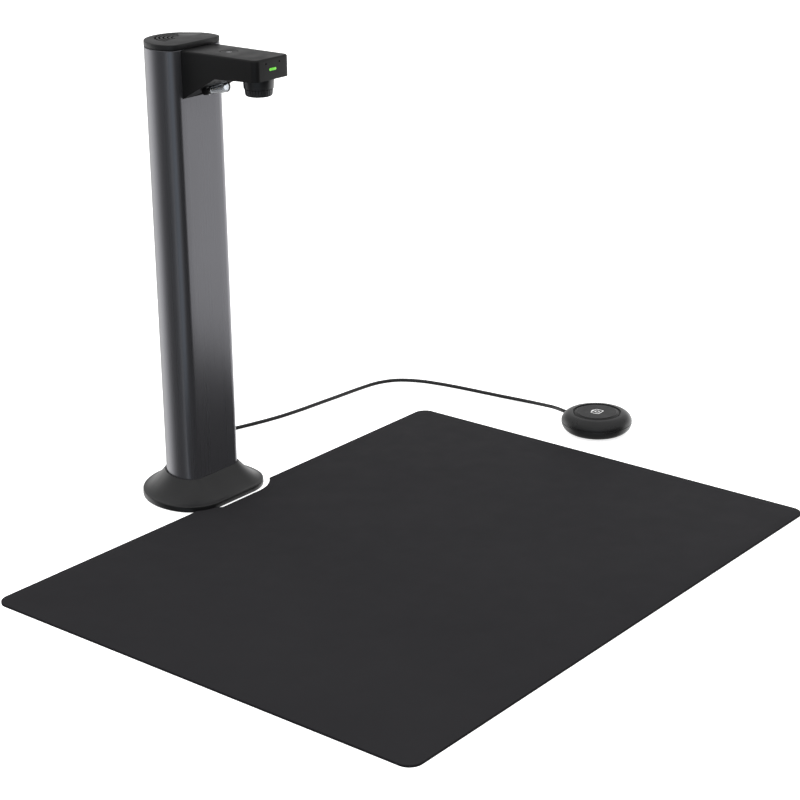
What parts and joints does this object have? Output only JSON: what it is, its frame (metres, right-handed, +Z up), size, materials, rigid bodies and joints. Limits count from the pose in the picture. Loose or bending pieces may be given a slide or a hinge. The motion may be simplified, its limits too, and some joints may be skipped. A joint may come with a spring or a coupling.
{
  "type": "document camera",
  "caption": "Desktop document camera: column on a weighted foot, overhanging head with lens, lamp and button, a notched reading mat and a corded hand button.",
  "frame": {"origin": "centre of the footprint of the foot, on the desk", "axes": "+Z up; -Y is the way the arm reaches, over the mat; +X is the right of a person sitting at the mat, on whose side the hand button lies"},
  "size_m": [0.555, 0.4714, 0.3516],
  "materials": {
    "soft_black": "fine satin texture",
    "arm_black": "fine satin texture",
    "black_plastic": "smooth satin",
    "button_black": "satin gloss",
    "gunmetal": "grey anodised, satin, drawn along its length",
    "rubber_pad": "matt",
    "cord_rubber": "satin jacket",
    "mat_charcoal": "matt, finely grained",
    "steel": "zinc plated",
    "brass": "turned brass",
    "circuit_board": "solder mask",
    "ribbon": "flat flexible cable",
    "inner_plastic": "moulded",
    "green_light": "lit green lens",
    "sensor_glass": "coated sensor window",
    "lens_glass": "coated glass",
    "clear_tube": "clear moulded acrylic",
    "lamp_white": "white board with light-emitting diodes"
  },
  "bodies": {
    "stand": {"foot_cover": "soft_black", "foot_ballast": "steel", "foot_pad": "rubber_pad", "foot_screws": "steel", "column_shell": "gunmetal", "chassis_plate": "steel", "board_standoffs": "brass", "main_board": "circuit_board", "ribbon_cable": "ribbon", "port_panel": "black_plastic", "port_board": "circuit_board", "usb_socket": "steel", "remote_socket": "black_plastic", "top_cap": "soft_black", "speaker": "inner_plastic", "arm_shell": "arm_black", "arm_underside": "arm_black", "arm_bracket": "steel", "bracket_screws": "steel", "arm_screws": "steel", "status_light": "green_light", "head_board": "circuit_board", "head_switch": "inner_plastic", "camera_board": "circuit_board", "image_sensor": "sensor_glass", "lens_housing": "black_plastic", "lamp_socket": "black_plastic", "lamp_tube": "clear_tube", "lamp_board": "lamp_white", "puck_base": "soft_black", "puck_cover": "soft_black", "puck_pad": "rubber_pad", "puck_board": "circuit_board", "puck_switch": "inner_plastic", "puck_spring": "steel", "puck_screws": "steel", "puck_gland": "cord_rubber", "remote_plug": "black_plastic", "plug_relief": "cord_rubber", "remote_cord": "cord_rubber"},
    "focus": {"focus_ring": "black_plastic", "lens_cell": "black_plastic", "front_lens": "lens_glass", "rear_lens": "lens_glass"},
    "head_key": {"head_button": "arm_black"},
    "hand_key": {"puck_button": "button_black"},
    "mat": {"scan_mat": "mat_charcoal"}
  },
  "joints": [
    {"name": "focus_turn", "type": "hinge", "parent": "stand", "child": "focus", "pos_m": [0, -0.0795, 0.325], "axis": [0, 0, 1], "range_deg": [-60, 60]},
    {"name": "head_press", "type": "slide", "parent": "stand", "child": "head_key", "axis": [0, 0, -1], "range_m": [0, 0.0004], "stiffness_N_per_m": 1500, "springref_m": -0.0005},
    {"name": "hand_press", "type": "slide", "parent": "stand", "child": "hand_key", "axis": [0, 0, -1], "range_m": [0, 0.0016], "stiffness_N_per_m": 600, "springref_m": -0.0015, "deforming": ["puck_spring"]},
    {"name": "mat_slide", "type": "slide", "parent": "stand", "child": "mat", "axis": [0, -1, 0], "range_m": [0, 0.1]}
  ]
}
